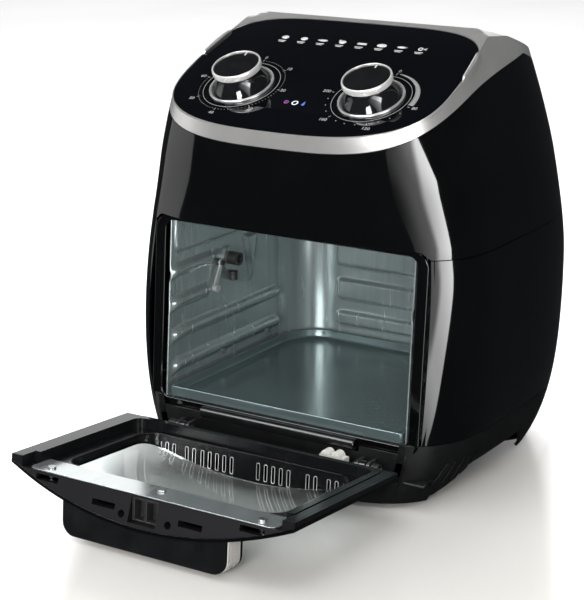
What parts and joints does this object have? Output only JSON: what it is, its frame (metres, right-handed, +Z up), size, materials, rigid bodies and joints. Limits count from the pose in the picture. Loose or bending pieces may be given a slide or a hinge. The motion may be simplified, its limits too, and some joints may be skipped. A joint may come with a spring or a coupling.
{
  "type": "rotisserie oven",
  "caption": "Countertop rotisserie air-fryer oven with drop-down glass door, sloped control panel, rotary dials, ribbed steel cavity and hot-air fan.",
  "frame": {"origin": "bottom centre of the box around the oven with its door open", "axes": "+Z up, the door faces -Y, X across the oven, +X to the right seen from the front"},
  "size_m": [0.3306, 0.4871, 0.376],
  "materials": {
    "gloss_black": "polished black",
    "matte_black": "fine texture black",
    "rubber": "dark grey rubber",
    "zinc": "zinc plated",
    "satin_silver": "satin silver lacquer",
    "panel_glass": "back printed black glass look",
    "lens": "clear",
    "board": "solder mask",
    "chrome": "bright chrome",
    "knob_black": "gloss black",
    "brass": "satin",
    "ceramic": "moulded",
    "copper": "drawn",
    "cavity_steel": "aluminised, brushed",
    "tray_coat": "satin non-stick coat",
    "element_metal": "oxidised sheath",
    "aluminium": "stamped",
    "motor_steel": "plain",
    "dark_steel": "black zinc",
    "nylon": "natural nylon",
    "clear_glass": "clear tempered"
  },
  "bodies": {
    "housing": {"upper_housing": "gloss_black", "lower_housing": "gloss_black", "rear_cover": "matte_black", "base_tray": "matte_black", "rubber_feet": "rubber", "base_screws": "zinc", "top_cap": "satin_silver", "control_panel": "panel_glass", "indicator_lenses": "lens", "indicator_board": "board", "timer_bezel": "chrome", "timer_unit": "brass", "thermostat_bezel": "chrome", "thermostat_unit": "ceramic", "thermostat_probe": "copper", "jamb_frame": "gloss_black", "cavity_liner": "cavity_steel", "cavity_ceiling": "cavity_steel", "drip_tray": "tray_coat", "wall_screws": "zinc", "heating_element": "element_metal", "element_guard": "zinc", "fan_shroud": "cavity_steel", "fan_motor": "motor_steel", "motor_bracket": "zinc", "rotisserie_motor": "motor_steel", "socket_boss": "cavity_steel", "lever_spring": "dark_steel", "spit_bearing": "zinc", "hinge_brackets": "dark_steel", "hinge_pins": "zinc", "hinge_spring": "zinc", "nylon_bumper": "nylon", "door_switch": "matte_black", "door_catch": "zinc", "cord_gland": "rubber"},
    "door": {"door_frame": "matte_black", "door_skin": "gloss_black", "door_glass": "clear_glass", "door_plate": "cavity_steel", "door_screws": "zinc", "door_latch": "dark_steel", "door_arms": "matte_black", "handle_grip": "matte_black", "handle_band": "satin_silver"},
    "timer_dial": {"timer_knob": "knob_black", "timer_knob_ring": "satin_silver", "timer_knob_cap": "knob_black", "timer_shaft": "zinc"},
    "temperature_dial": {"thermostat_knob": "knob_black", "thermostat_knob_ring": "satin_silver", "thermostat_knob_cap": "knob_black", "thermostat_shaft": "zinc"},
    "fan_rotor": {"convection_fan": "aluminium", "cooling_fan": "matte_black", "motor_shaft": "zinc"},
    "spit_drive": {"drive_socket": "dark_steel"},
    "release_lever": {"release_lever": "chrome"},
    "switch_plunger": {"switch_plunger": "nylon"}
  },
  "joints": [
    {"name": "door_hinge", "type": "hinge", "parent": "housing", "child": "door", "pos_m": [0, -0.05795, 0.0355], "axis": [-1, 0, 0], "range_deg": [0, 90]},
    {"name": "timer_turn", "type": "hinge", "parent": "housing", "child": "timer_dial", "pos_m": [-0.0627, -0.00575, 0.329], "axis": [0, -0.4147, 0.91], "range_deg": [-279, 0]},
    {"name": "temperature_turn", "type": "hinge", "parent": "housing", "child": "temperature_dial", "pos_m": [0.0627, -0.00575, 0.329], "axis": [0, -0.4147, 0.91], "range_deg": [-275, 0]},
    {"name": "fan_spin", "type": "hinge", "parent": "housing", "child": "fan_rotor", "pos_m": [0, 0.06605, 0.28], "axis": [0, 0, 1], "continuous": true},
    {"name": "spit_spin", "type": "hinge", "parent": "housing", "child": "spit_drive", "pos_m": [-0.12, 0.05345, 0.158], "axis": [1, 0, 0], "continuous": true},
    {"name": "lever_swing", "type": "hinge", "parent": "housing", "child": "release_lever", "pos_m": [-0.1155, 0.03805, 0.157], "axis": [1, 0, 0], "range_deg": [0, 25], "stiffness_Nm_per_rad": 0.01, "springref_deg": -17.19},
    {"name": "plunger_press", "type": "slide", "parent": "housing", "child": "switch_plunger", "axis": [0, 0, 1], "range_m": [0, 0.0025], "stiffness_N_per_m": 200, "springref_m": -0.003}
  ]
}
